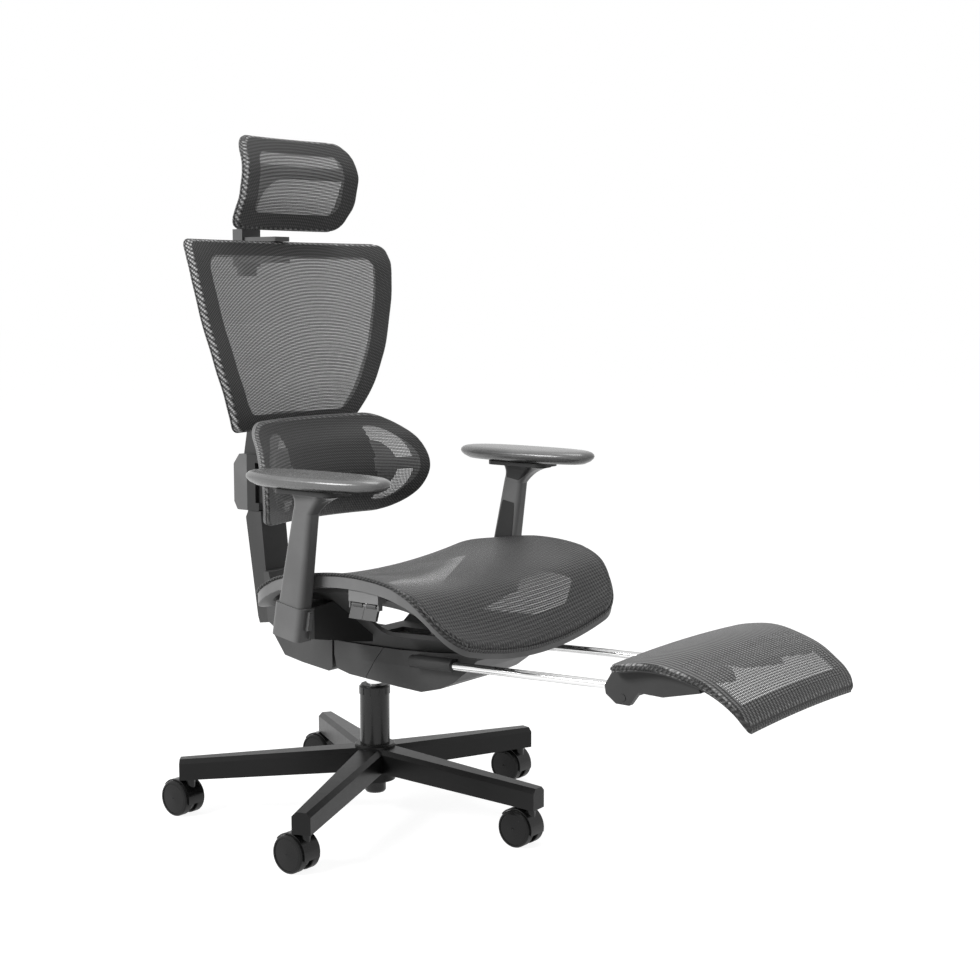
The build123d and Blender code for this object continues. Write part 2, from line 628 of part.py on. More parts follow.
bar_y = spine_top_y + 20                # the bar that the height block slides on
bar_top = spine_top_z + block_h - 4
spine = side_plate([(spine_foot_y, spine_foot_z), (spine_foot_y + spine_t - 4, spine_foot_z - 4),
                    (spine_foot_y + spine_t, spine_foot_z + 8), (spine_top_y + spine_t + 6, spine_top_z - 12),
                    (spine_top_y + spine_t, spine_top_z), (spine_top_y, spine_top_z)], -spine_half, spine_half)
spine += span(-spine_bar_half, spine_bar_half, bar_y - spine_bar_t / 2, bar_y + spine_bar_t / 2,
              spine_top_z - 2, bar_top)
screw_at = [(x, z) for x in (-16, 16) for z in (spine_foot_z + 36, spine_foot_z + 69)]
for x, z in screw_at:
    spine -= Pos(x, spine_y(z) + spine_t / 2, z) * Rot(90, 0, 0) * Cylinder(screw_r + run_fit, spine_t + 40)
    spine -= Pos(x, spine_y(z) + spine_t, z) * Rot(90, 0, 0) * Cylinder(screw_head_r + 1, 12)
parts["spine_post"] = spine
screws = []
for x, z in screw_at:
    back_face = spine_y(z) + spine_t - 6
    head = Pos(x, back_face + 2.2, z) * Rot(90, 0, 0) * Cylinder(screw_head_r, 4)
    head -= Pos(x, back_face + 4, z) * Rot(90, 0, 0) * extrude(RegularPolygon(screw_r - 1, 6), 3, both=True)
    shank_len = back_face - spine_y(z) - 1
    screws.append(head + Pos(x, back_face - shank_len / 2, z) * Rot(90, 0, 0) * Cylinder(screw_r, shank_len))
parts["spine_screws"] = Compound(children=screws)

# ---- back: height block, frame, mesh ----------------------------------------------------------------
block_low = spine_top_z + seat_gap
block_top = block_low + block_h
block_front = bar_y - block_depth * 0.30
block = side_plate([(block_front, block_low), (block_front + block_depth - 8, block_low),
                    (block_front + block_depth, block_low + 14), (block_front + block_depth, block_top - 18),
                    (block_front + block_depth - 14, block_top), (block_front, block_top)], -block_half, block_half, 3)
block -= span(-spine_bar_half - slide_gap, spine_bar_half + slide_gap, bar_y - spine_bar_t / 2 - slide_gap,
              bar_y + spine_bar_t / 2 + slide_gap, block_low - 5, block_top + 5)
block -= both_sides(span(block_half - 8, block_half + 2, block_front - 2, block_front + 8, block_low + 14, block_top - 14))
parts["height_block"] = block

back_z = [back_top + 2, 930, 900, 870, 840, 810, 780, 750, 720, 690, 665, back_bottom - 4]
back_y = [177, 161, 155, 150, 147, 143, 139, 138, 137, 141, 147, 154]
back_mid_y = back_y[2] + back_hollow + 2
back_stations = [back_top_half * share for share in (-1.04, -0.5, 0, 0.5, 1.04)]
rearward = (1, 0)


def back_curve(x):
    """The front of the back, from its top to its bottom, at a place across it."""
    hollow_here = back_hollow * (1 - (x / back_top_half) ** 2)
    return [(y + hollow_here, z) for y, z in zip(back_y, back_z)]


def back_view(inset=0.0):
    """The back seen from the front: wide at the shoulders, drawn in to the waist."""
    shoulder, flank, waist = (back_top_half, back_top - 30), (back_flank_half, 811), (back_waist_half, 690)
    left = [(-x, z) for x, z in (waist, flank, shoulder)]
    face = make_face(Curve() + [
        ThreePointArc(shoulder, flank, waist), Line(waist, (back_bottom_half, back_bottom)),
        Line((back_bottom_half, back_bottom), (-back_bottom_half, back_bottom)),
        Line((-back_bottom_half, back_bottom), left[0]), ThreePointArc(*left),
        Line(left[2], (4 - back_top_half, back_top)), Line((4 - back_top_half, back_top), (back_top_half - 4, back_top)),
        Line((back_top_half - 4, back_top), shoulder)])
    face = fillet(face.vertices().group_by(Axis.Y)[-1], 16)
    face = fillet(face.vertices().group_by(Axis.Y)[0], 20)
    return offset(face, -inset) if inset else face


def view_prism(face, y0, y1):
    """A front view made solid from y0 back to y1."""
    return extrude(Plane(origin=(0, y1, 0), x_dir=(1, 0, 0), z_dir=(0, -1, 0)) * face, amount=y1 - y0)


back_prism = view_prism(back_view(), 100, 260)
back_window = view_prism(back_view(back_rim), 90, 270)
frame_slab = sheet(back_stations, back_curve, rearward, mesh_t + seat_gap, mesh_t + seat_gap + back_frame_t)
ring = (back_prism - back_window) & frame_slab
neck_low = block_top
neck_mid_y = block_front + block_depth / 2 - 4
neck = side_plate([(neck_mid_y - 16, neck_low), (neck_mid_y + 16, neck_low), (neck_mid_y + 8, neck_low + 40),
                   (205, back_bottom + 26), (182, back_bottom + 26), (182, back_bottom + 4),
                   (neck_mid_y - 26, neck_low + 26)], -24, 24)
neck -= sheet(back_stations, back_curve, rearward, -80, mesh_t + seat_gap + back_frame_t * 0.5)
parts["back_frame"] = only_solid(ring + neck)
parts["back_mesh"] = only_solid(back_prism & sheet(back_stations, back_curve, rearward, 0, mesh_t))

# ---- lumbar pad -------------------------------------------------------------------------------------
lumbar_z = [lumbar_top + 2, 650, 630, 610, 590, 570, 550, 530, 510, lumbar_bottom - 2]
lumbar_bow = [50, 38, 20, 10, 3, 0, 2, 7, 19, 30]
lumbar_stations = [lumbar_half * share for share in (-1.03, -0.7, -0.35, 0, 0.35, 0.7, 1.03)]


def lumbar_curve(x):
    """The front of the lumbar pad from top to bottom."""
    wrap = lumbar_wrap * (x / lumbar_half) ** 2
    return [(lumbar_mid_y - wrap + bow, z) for z, bow in zip(lumbar_z, lumbar_bow)]


def lumbar_view(inset=0.0):
    """The pad seen from the front: a long shape with round ends."""
    tall = lumbar_top - lumbar_bottom
    return Pos(0, (lumbar_top + lumbar_bottom) / 2) * RectangleRounded(
        2 * (lumbar_half - inset), tall - 2 * inset, tall / 2 - inset - 0.5)


lumbar_prism = view_prism(lumbar_view(), 0, 200)
lumbar_hole = view_prism(lumbar_view(lumbar_rim), -10, 210)
lumbar_back = mesh_t + seat_gap + lumbar_frame_t
lumbar_slab = sheet(lumbar_stations, lumbar_curve, rearward, mesh_t + seat_gap, lumbar_back)
parts["lumbar_mesh"] = only_solid(lumbar_prism & sheet(lumbar_stations, lumbar_curve, rearward, 0, mesh_t))
brace_view = Pos(0, lumbar_pivot_z + 8) * RectangleRounded(300, 84, 40)
brace_view -= Pos(0, lumbar_pivot_z + 8) * RectangleRounded(150, 30, 14)
brace = view_prism(brace_view, 0, 200) & sheet(lumbar_stations, lumbar_curve, rearward, lumbar_back - 6, lumbar_back)
spoke = Pos(0, lumbar_pivot_z + 8) * (RectangleRounded(2 * lumbar_half - 20, 20, 6) - RectangleRounded(280, 60, 6))
tie = Pos(0, (lumbar_top + lumbar_bottom) / 2) * (Rectangle(26, lumbar_top - lumbar_bottom - 16) - Rectangle(60, 60))
struts = view_prism(spoke + tie, 0, 200) & sheet(lumbar_stations, lumbar_curve, rearward, lumbar_back - 6, lumbar_back)
lumbar_ring = ((lumbar_prism - lumbar_hole) & lumbar_slab) + struts + brace
pivot_lug_y = lumbar_mid_y + lumbar_back + 14
lugs = [side_plate([(lumbar_mid_y + lumbar_back - 3, lumbar_pivot_z - 16), (pivot_lug_y + 8, lumbar_pivot_z - 8),
                    (pivot_lug_y + 8, lumbar_pivot_z + 8), (lumbar_mid_y + lumbar_back - 3, lumbar_pivot_z + 16)],
                   x - 4, x + 4) for x in (-20, 20)]
lumbar_frame = lumbar_ring
for lug in lugs:
    lumbar_frame = lumbar_frame + lug
lumbar_frame -= bar_x(lumbar_pin_r + run_fit, -60, 60, pivot_lug_y, lumbar_pivot_z)
parts["lumbar_frame"] = only_solid(lumbar_frame)
pivot_lug_y = pivot_lug_y
lumbar_arm = side_plate([(pivot_lug_y - 8, lumbar_pivot_z - 6), (pivot_lug_y, lumbar_pivot_z - 10),
                         (block_front, block_low + 22), (block_front, block_low + 66),
                         (pivot_lug_y, lumbar_pivot_z + 10), (pivot_lug_y - 8, lumbar_pivot_z + 6)], -15.5, 15.5)
lumbar_arm -= bar_x(lumbar_pin_r + run_fit, -60, 60, pivot_lug_y, lumbar_pivot_z)
parts["lumbar_arm"] = lumbar_arm
parts["lumbar_pin"] = bar_x(lumbar_pin_r, -26, 26, pivot_lug_y, lumbar_pivot_z)

# ---- headrest ---------------------------------------------------------------------------------------
head_z = [head_top + 2, 1110, 1090, 1070, 1050, 1030, 1010, head_bottom - 2]
head_y = [167, 153, 145, 143, 147, 152, 164, 180]
head_stations = [head_half * share for share in (-1.04, -0.5, 0, 0.5, 1.04)]


def head_curve(x):
    """The front of the headrest from top to bottom."""
    hollow_here = head_hollow * (1 - (x / head_half) ** 2)
    return [(y + hollow_here, z) for y, z in zip(head_y, head_z)]


def head_view(inset=0.0):
    """The headrest seen from the front: widest above its middle, rounded at the top."""
    points = [(head_half - 12, head_top), (head_half, head_pivot_z - 8), (head_half - 14, head_bottom),
              (14 - head_half, head_bottom), (-head_half, head_pivot_z - 8), (12 - head_half, head_top)]
    face = make_face(Polyline(*points, close=True))
    face = fillet(face.vertices().group_by(Axis.Y)[-1], 26)
    face = fillet(face.vertices().group_by(Axis.Y)[0], 12)
    return offset(face, -inset) if inset else face


head_prism = view_prism(head_view(), 100, 260)
head_hole = view_prism(head_view(head_rim), 90, 270)
head_back = mesh_t + seat_gap + head_frame_t
parts["headrest_mesh"] = only_solid(head_prism & sheet(head_stations, head_curve, rearward, 0, mesh_t))
head_ring = (head_prism - head_hole) & sheet(head_stations, head_curve, rearward, mesh_t + seat_gap, head_back)
cross = Pos(0, head_pivot_z) * Rectangle(2 * head_half - 20, 22)
head_cross = view_prism(cross, 100, 260) & sheet(head_stations, head_curve, rearward, head_back - 6, head_back)
lug_front = head_curve(0)[3][0] + head_back - 4
head_lugs = [side_plate([(lug_front, head_pivot_z - 11), (head_pivot_y + 6, head_pivot_z - 7),
                         (head_pivot_y + 6, head_pivot_z + 7), (lug_front, head_pivot_z + 11)], x - 4, x + 4)
             for x in (-stem_half - 5, stem_half + 5)]
head_frame = head_ring + head_cross
for lug in head_lugs:
    head_frame = head_frame + lug
head_frame -= bar_x(head_pin_r + run_fit, -60, 60, head_pivot_y, head_pivot_z)
parts["headrest_frame"] = only_solid(head_frame)
parts["headrest_pin"] = bar_x(head_pin_r, -stem_half - 11, stem_half + 11, head_pivot_y, head_pivot_z)
stem_bottom = sleeve_top - head_travel - 36
stem_path = [(stem_y, stem_bottom), (stem_y, 1000), (stem_y - 6, 1035), (stem_y - 26, 1062),
             (head_pivot_y, head_pivot_z + 7)]
stem_front = [(head_pivot_y - 7, head_pivot_z + 2), (head_pivot_y - 3, head_pivot_z - 7), (stem_y - 34, 1050),
              (stem_y - 17, 1026), (stem_y - stem_t, 996), (stem_y - stem_t, stem_bottom)]
stem_side = make_face(Curve() + [Line(stem_path[0], stem_path[1]), Spline(*stem_path[1:]),
                                 Line(stem_path[-1], stem_front[0]), Line(stem_front[0], stem_front[1]),
                                 Spline(*stem_front[1:5]), Line(stem_front[4], stem_front[5]),
                                 Line(stem_front[5], stem_path[0])])
stem = extrude(Plane.YZ * stem_side, amount=stem_half, both=True)
stem -= bar_x(head_pin_r + run_fit, -60, 60, head_pivot_y, head_pivot_z)
parts["headrest_stem"] = stem
sleeve_front = stem_y - stem_t - sleeve_wall
sleeve_half = stem_half + sleeve_wall
bracket_front = back_mid_y + 13
sleeve = span(-sleeve_half, sleeve_half, sleeve_front, stem_y + sleeve_wall, sleeve_low, sleeve_top)
sleeve += span(-sleeve_half, sleeve_half, bracket_front, sleeve_front + 1, sleeve_low + 6, back_top - 4)
sleeve += span(-stem_half, stem_half, bracket_front + 4, sleeve_front + 1, back_top - 6, back_top + 10)
sleeve -= span(-stem_half - slide_gap, stem_half + slide_gap, stem_y - stem_t - slide_gap, stem_y + slide_gap,
               sleeve_low - 5, sleeve_top + 5)
sleeve -= sheet(back_stations, back_curve, rearward, -80, mesh_t + 2 * seat_gap + back_frame_t)
parts["headrest_bracket"] = only_solid(sleeve)

# ---- footrest ---------------------------------------------------------------------------------------
def rod_frame(x):
    """The frame of a rod: its origin at the mouth of the socket, its Z axis forward along the rod."""
    return Pos(x, socket_y, socket_z) * Rot(90 - rod_rise_deg, 0, 0)


rod_reach = (socket_y - foot_pivot_y) / cos(radians(rod_rise_deg))
foot_pivot_z = socket_z + rod_reach * sin(radians(rod_rise_deg))
rod_rear = 4 - socket_len               # along the rod, from the mouth of the socket
rod_ahead = rod_reach - 8
socket = rod_frame(rod_x) * (Pos(0, 0, -socket_len / 2) * Cylinder(socket_r, socket_len))
flange = side_plate([(socket_y + 4, socket_z - 6), (socket_y + 4, socket_z + 8), (socket_y + socket_len, socket_z + 5),
                     (socket_y + socket_len, socket_z - 8)], housing_half, rod_x - 4)
socket = socket + flange - (rod_frame(rod_x) * (Pos(0, 0, -socket_len / 2) * Cylinder(rod_r + run_fit, socket_len + 20)))
parts["footrest_socket_left"], parts["footrest_socket_right"] = both_sides(only_solid(socket))
rod = rod_frame(rod_x) * (Pos(0, 0, (rod_ahead + rod_rear) / 2) * Cylinder(rod_r, rod_ahead - rod_rear))
rod += bar_x(rod_r + 4, rod_x - 7, rod_x + 7, foot_pivot_y, foot_pivot_z)
rod -= bar_x(foot_shaft_r + run_fit, rod_x - 20, rod_x + 20, foot_pivot_y, foot_pivot_z)
parts["footrest_rods"] = Compound(children=both_sides(only_solid(rod)))
parts["footrest_shaft"] = bar_x(foot_shaft_r, -foot_shaft_half, foot_shaft_half, foot_pivot_y, foot_pivot_z)

foot_y = [foot_rear + 3, -618, -643, -670, -695, -720, -744, -770, -787, foot_front - 2]
foot_z = [367, 373, 376, 375, 370, 363, 353, 336, 319, 301]
foot_stations = [foot_rear_half * share for share in (-1.04, -0.5, 0, 0.5, 1.04)]


def foot_curve(x):
    """The top of the footrest from its rear edge to its front edge; it is a little crowned across."""
    crown = 5 * (1 - (x / foot_rear_half) ** 2)
    return [(y, z + crown) for y, z in zip(foot_y, foot_z)]


def foot_plan(inset=0.0):
    """The footrest from above: a little narrower towards the feet."""
    face = make_face(Polyline((foot_rear_half, foot_rear), (foot_front_half, foot_front), (-foot_front_half, foot_front),
                              (-foot_rear_half, foot_rear), close=True))
    face = fillet(face.vertices(), 12)
    return offset(face, -inset) if inset else face


foot_prism = Pos(0, 0, 280) * extrude(foot_plan(), amount=140)
foot_hole = Pos(0, 0, 270) * extrude(foot_plan(foot_rim), amount=160)
foot_hole = foot_hole & span(-300, 300, -900, foot_tray_front, 200, 500)
foot_under = mesh_t + seat_gap
parts["footrest_mesh"] = only_solid(foot_prism & sheet(foot_stations, foot_curve, down, 0, mesh_t))
foot_frame = (foot_prism - foot_hole) & sheet(foot_stations, foot_curve, down, foot_under, foot_under + foot_frame_t)
rib_sink = foot_under + 2               # the top of a rib, below the sheet's own points
rib_front, rib_rear = foot_y[5] + 4, foot_rear + 20
boss_low = foot_pivot_z - 2 * foot_shaft_r
rib_side = [(rib_rear, foot_pivot_z + 14), (rib_rear - 2, foot_pivot_z + 2), (foot_pivot_y + 11, boss_low),
            (foot_pivot_y - 11, boss_low), (-626, 330), (-665, 329), (rib_front - 8, 343),
            (rib_front, foot_z[5] - rib_sink + 1)]
rib_side += [(y, z - rib_sink) for y, z in reversed(list(zip(foot_y, foot_z))[:5])]
for x in (6 - foot_shaft_half, -70, 70, foot_shaft_half - 6):
    foot_frame = foot_frame + side_plate(rib_side, x - 5, x + 5)
foot_frame -= bar_x(foot_shaft_r + run_fit, -foot_shaft_half - 20, foot_shaft_half + 20, foot_pivot_y, foot_pivot_z)
parts["footrest_frame"] = only_solid(foot_frame)

# ---- write one file per piece -----------------------------------------------------------------------
os.makedirs("parts", exist_ok=True)
for name, shape in parts.items():
    export_step(shape, f"parts/{name}.step")
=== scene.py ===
"""A reclining mesh office chair with a footrest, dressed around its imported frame.

Metres, +Z up. The sitter looks along -Y, and the sitter's left is +X. The floor is at z = 0.
"""
import math

import bpy
import numpy as np
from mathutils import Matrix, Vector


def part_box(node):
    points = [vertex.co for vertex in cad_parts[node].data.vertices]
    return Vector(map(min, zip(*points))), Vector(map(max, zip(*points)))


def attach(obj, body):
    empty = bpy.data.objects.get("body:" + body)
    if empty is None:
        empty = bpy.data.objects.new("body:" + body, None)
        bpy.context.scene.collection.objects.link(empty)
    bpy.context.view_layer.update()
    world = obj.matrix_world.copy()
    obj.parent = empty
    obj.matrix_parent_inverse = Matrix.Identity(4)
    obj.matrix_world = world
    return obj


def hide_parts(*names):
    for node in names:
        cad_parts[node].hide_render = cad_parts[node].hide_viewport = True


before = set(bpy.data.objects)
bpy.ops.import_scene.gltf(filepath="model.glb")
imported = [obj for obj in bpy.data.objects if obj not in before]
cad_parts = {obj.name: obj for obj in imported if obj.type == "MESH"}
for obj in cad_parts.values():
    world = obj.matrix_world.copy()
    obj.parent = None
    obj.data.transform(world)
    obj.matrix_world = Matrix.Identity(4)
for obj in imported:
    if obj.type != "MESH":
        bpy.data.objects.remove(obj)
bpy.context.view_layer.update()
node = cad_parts

# ---- the studio ---------------------------------------------------------------------------------------
# A pale floor that runs out to a white ground, one broad lamp high on the left, a weaker one low on the
# right and a long one overhead, and the camera where the photographer stood.


class Wire:
    """What comes out of a shader node. Sums and products of wires add Math nodes."""

    def __init__(self, finish, socket):
        self.finish, self.socket = finish, socket

    def maths(self, operation, *values):
        return self.finish.node("Math", {"operation": operation}, values)

    def __add__(self, other):
        return self.maths("ADD", self, other)

    def __radd__(self, other):
        return self.maths("ADD", other, self)

    def __sub__(self, other):
        return self.maths("SUBTRACT", self, other)

    def __rsub__(self, other):
        return self.maths("SUBTRACT", other, self)

    def __mul__(self, other):
        return self.maths("MULTIPLY", self, other)

    def __rmul__(self, other):
        return self.maths("MULTIPLY", other, self)

    def __truediv__(self, other):
        return self.maths("DIVIDE", self, other)

    def __lt__(self, other):
        return self.maths("LESS_THAN", self, other)

    def __abs__(self):
        return self.maths("ABSOLUTE", self)

    def sin(self):
        return self.maths("SINE", self)

    def most(self, other):
        return self.maths("MAXIMUM", self, other)

    def ramp(self, low, high, to_low=0.0, to_high=1.0):
        """A smooth step from to_low at low to to_high at high."""
        smooth = {"interpolation_type": "SMOOTHSTEP"}
        return self.finish.node("MapRange", smooth, [self, low, high, to_low, to_high])


class Finish:
    """A material or a world, built up node by node."""

    def __init__(self, owner):
        owner.use_nodes = True
        self.owner, self.tree = owner, owner.node_tree

    def node(self, kind, settings=None, inputs=(), out=0):
        """A new node with its settings, its inputs joined by name or in turn, and one output picked."""
        made = self.tree.nodes.new("ShaderNode" + kind)
        for name, value in (settings or {}).items():
            setattr(made, name, value)
        for key, value in inputs.items() if isinstance(inputs, dict) else enumerate(inputs):
            self.join(made.inputs[key], value)
        return Wire(self, made.outputs[out])

    def join(self, socket, value):
        """A wire is linked to the socket, and anything else is its value."""
        if isinstance(value, Wire):
            self.tree.links.new(value.socket, socket)
        else:
            socket.default_value = value

    def mix(self, share, one, other):
        """One colour turning into another."""
        return self.node("Mix", {"data_type": "RGBA"}, {0: share, 6: one, 7: other}, out=2)

    def seen(self):
        """1 for what the camera sees straight, in a reflection or through glass."""
        path = self.node("LightPath")
        links = [Wire(self, path.socket.node.outputs[name]) for name in
                 ("Is Camera Ray", "Is Glossy Ray", "Is Transmission Ray")]
        return links[0].most(links[1]).most(links[2])


def paint(name):
    """A new material with its default shader."""
    return Finish(bpy.data.materials.new(name))


def grey(level):
    """A grey, as the colour of a socket."""
    return (level, level, level, 1.0)


def alone():
    """Nothing stays selected, so that an operator acts on the next primitive only."""
    bpy.ops.object.select_all(action="DESELECT")


FLOOR_SIZE = 60
AMBIENT = 0.30          # strength of the light from all round
FLOOR_BOUNCE = 0.32     # how pale the floor is to the chair
FLOOR_SHADE = 0.33      # how strongly a shadow shows on the white floor
alone()
bpy.ops.mesh.primitive_plane_add(size=FLOOR_SIZE)
floor = bpy.context.object
floor.name = "studio_floor"
white_floor = paint("white_floor")
white_floor.tree.nodes.remove(white_floor.tree.nodes["Principled BSDF"])
plain = white_floor.node("BsdfDiffuse", None, {"Color": grey(FLOOR_BOUNCE)})
glow = white_floor.node("Emission", None, {"Color": grey(1.0), "Strength": 1.0 - AMBIENT * FLOOR_SHADE})
shade = white_floor.node("BsdfDiffuse", None, {"Color": grey(FLOOR_SHADE)})
both = white_floor.node("AddShader", None, [glow, shade])
white_floor.join(white_floor.tree.nodes["Material Output"].inputs["Surface"],
                 white_floor.node("MixShader", None, [white_floor.seen(), plain, both]))
floor.data.materials.append(white_floor.owner)

world = bpy.data.worlds.new("white_studio")
bpy.context.scene.world = world
studio = Finish(world)
studio.tree.nodes.remove(studio.tree.nodes["Background"])
dim = studio.node("Background", None, {"Color": grey(1.0), "Strength": AMBIENT})
bright = studio.node("Background", None, {"Color": grey(1.0), "Strength": 1.0})
studio.join(studio.tree.nodes["World Output"].inputs["Surface"],
            studio.node("MixShader", None, [studio.seen(), dim, bright]))


def lamp(name, place, aim, size, power):
    """A soft rectangular lamp that points at a place."""
    alone()
    bpy.ops.object.light_add(type="AREA", location=place)
    light = bpy.context.object
    light.name = name
    light.data.shape, light.data.size, light.data.size_y, light.data.energy = "RECTANGLE", *size, power
    ahead = [b - a for a, b in zip(place, aim)]
    flat = math.hypot(ahead[0], ahead[1])
    light.rotation_euler = (math.atan2(flat, -ahead[2]), 0, math.atan2(-ahead[0], ahead[1]))


CHAIR_MIDDLE = (0, 0, 0.6)
lamp("key_lamp", (-2.7, 0.9, 2.1), CHAIR_MIDDLE, (1.5, 1.1), 112)
lamp("top_lamp", (0.3, -0.4, 3.2), (0, -0.2, 0.5), (2.2, 1.4), 40)
lamp("fill_lamp", (0.6, -3.2, 1.0), CHAIR_MIDDLE, (1.4, 1.4), 4)

CAMERA_PLACE = (-2.140, -1.867, 0.885)
LOOKS_DOWN_DEG = 6.698
TURNED_DEG = -52.816
LENS_MM = 63.13
SENSOR_MM = 36.0
alone()
bpy.ops.object.camera_add(location=CAMERA_PLACE,
                          rotation=(math.radians(90 - LOOKS_DOWN_DEG), 0, math.radians(TURNED_DEG)))
camera = bpy.context.object
camera.data.lens, camera.data.sensor_width = LENS_MM, SENSOR_MM
bpy.context.scene.camera = camera
bpy.context.scene.view_settings.view_transform = "Standard"

# ---- five-star base -----------------------------------------------------------------------------------
# One moulding in glass-filled black nylon: square-edged arms with a fine spark-eroded texture, a satin
# sheen and faint rub marks.


COLOUR_DRIFT = 0.12     # how far the grey of a moulding wanders each way, as a share of it


def moulded(name, level, rough, grain=900.0, depth=0.00012, coat=0.0, shine=0.26, painted_shade=None):
    """A moulded plastic: a fine pebbled skin, a slow drift of its grey and faint rub marks.

    A part in painted shade, given as (axis, how far from the middle it reaches along it, share), keeps
    that share of the grey only.
    """
    skin = paint(name)
    place = skin.node("TexCoord", out=3)
    pebble = skin.node("TexNoise", None, {
        "Vector": place, "Scale": grain, "Detail": 3.0, "Roughness": 0.6})
    cloud = skin.node("TexNoise", None, {"Vector": place, "Scale": 9.0, "Detail": 4.0})
    rub = skin.node("TexNoise", None, {"Vector": place, "Scale": 46.0, "Detail": 6.0, "Distortion": 1.2})
    shader = skin.tree.nodes["Principled BSDF"]
    darker, paler = grey(level * (1 - COLOUR_DRIFT)), grey(level * (1 + COLOUR_DRIFT))
    colour = skin.mix(cloud.ramp(0.35, 0.65), darker, paler)
    if painted_shade:
        axis, limit, share = painted_shade
        # Where this part lies, the grey is cut down as painted shade.
        in_painted_shade = abs(skin.node("SeparateXYZ", None, {"Vector": place}, out="xyz".index(axis))) < limit
        colour = skin.mix(in_painted_shade, colour, grey(level * share))
    skin.join(shader.inputs["Base Color"], colour)
    skin.join(shader.inputs["Roughness"], rough + 0.10 * (rub - 0.5) + 0.06 * (pebble - 0.5))
    skin.join(shader.inputs["Normal"], skin.node("Bump", None, {
        "Strength": 0.35, "Distance": depth, "Height": pebble}))
    shader.inputs["Specular IOR Level"].default_value = shine
    shader.inputs["Coat Weight"].default_value = coat
    shader.inputs["Coat Roughness"].default_value = 0.2
    return skin.owner


def dress(material, *names):
    """The carried-over solids take a material."""
    for name in names:
        node[name].data.materials.clear()
        node[name].data.materials.append(material)


black_nylon = moulded("black_nylon", 0.007, 0.34, 1100.0, shine=0.20)
dress(black_nylon, "star_base")

# ---- castors ------------------------------------------------------------------------------------------
# Twin wheels of black nylon on a steel axle under a hooded fork: a polished disc with a raised rim, and
# a duller tread that the floor has worn.
castor_black = moulded("castor_black", 0.006, 0.24, 700.0, coat=0.2, shine=0.2)
dress(castor_black, *[f"castor_{n}_hood" for n in range(1, 6)])


def wheel_finish():
    """Gloss on the disc of a wheel, a duller worn band where it rolls."""
    skin = paint("castor_wheel")
    place = skin.node("TexCoord", out=3)
    facing = skin.node("TexCoord", out=1)
    across = abs(skin.node("SeparateXYZ", None, {"Vector": facing}))
    worn = skin.node("TexNoise", None, {"Vector": place, "Scale": 160.0, "Detail": 5.0})
    tread = across.ramp(0.75, 0.35)
    shader = skin.tree.nodes["Principled BSDF"]
    scuffed = tread * worn.ramp(0.3, 0.7)
    skin.join(shader.inputs["Base Color"], skin.mix(scuffed, grey(0.007), grey(0.022)))
    skin.join(shader.inputs["Roughness"], 0.20 + 0.28 * tread + 0.08 * (worn - 0.5))
    skin.join(shader.inputs["Normal"], skin.node("Bump", None, {
        "Strength": 0.3, "Distance": 0.0002, "Height": worn}))
    shader.inputs["Specular IOR Level"].default_value = 0.22
    return skin.owner


dress(wheel_finish(), *[f"castor_{n}_wheels" for n in range(1, 6)])

# ---- gas lift -----------------------------------------------------------------------------------------
# A steel tube painted satin black with a notched nylon collar pressed into its mouth, and the chromed
# cylinder that slides in it.
lift_paint = moulded("lift_paint", 0.006, 0.28, 1600.0, coat=0.35, shine=0.2)
dress(lift_paint, "gas_lift_tube")
dress(black_nylon, "gas_lift_bush")


def metal(name, level, rough, brushed):
    """A bare metal, with the faint lines of its polishing."""
    skin = paint(name)
    place = skin.node("TexCoord", out=3)
    stretched = skin.node("Mapping", None, {"Vector": place, "Scale": (3.0, 60.0, 60.0)})
    lines = skin.node("TexNoise", None, {"Vector": stretched, "Scale": 18.0, "Detail": 5.0})
    shader = skin.tree.nodes["Principled BSDF"]
    shader.inputs["Base Color"].default_value = grey(level)
    shader.inputs["Metallic"].default_value = 1.0
    skin.join(shader.inputs["Roughness"], rough + brushed * (lines - 0.5))
    return skin.owner


chrome = metal("chrome_steel", 0.78, 0.10, 0.08)
plain_steel = metal("plain_steel", 0.42, 0.34, 0.20)
dress(chrome, "gas_lift_rod", "footrest_rods")

COLLAR_RADIUS = 0.0262
COLLAR_TALL = 0.012
COLLAR_MIDDLE = 0.007   # below the top of the tube
COLLAR_WALL = 0.0011
NOTCH_EVERY = 4         # faces of the collar from notch to notch
NOTCH_EDGE = 0.0006
NOTCH_DEPTH = 0.0007
tube_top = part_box("gas_lift_tube")[1][2]
alone()
bpy.ops.mesh.primitive_cylinder_add(vertices=12 * NOTCH_EVERY, radius=COLLAR_RADIUS, depth=COLLAR_TALL,
                                    location=(0, 0, tube_top - COLLAR_MIDDLE), end_fill_type="NOTHING")
lift_collar = bpy.context.object
lift_collar.name = "lift_collar"
bpy.ops.object.transform_apply()
bpy.ops.object.mode_set(mode="EDIT")
bpy.ops.mesh.select_all(action="DESELECT")
bpy.ops.object.mode_set(mode="OBJECT")
for index, face in enumerate(lift_collar.data.polygons):
    face.select = index % NOTCH_EVERY == 0
bpy.ops.object.mode_set(mode="EDIT")
bpy.ops.mesh.select_mode(type="FACE")
bpy.ops.mesh.inset(thickness=NOTCH_EDGE, depth=0.0)
bpy.ops.mesh.extrude_region_shrink_fatten(TRANSFORM_OT_shrink_fatten={"value": -NOTCH_DEPTH})
bpy.ops.object.mode_set(mode="OBJECT")
shell = lift_collar.modifiers.new("wall", "SOLIDIFY")
shell.thickness, shell.offset = COLLAR_WALL, -1.0
bpy.ops.object.modifier_apply(modifier="wall")
lift_collar.data.materials.append(lift_paint)
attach(lift_collar, "base")

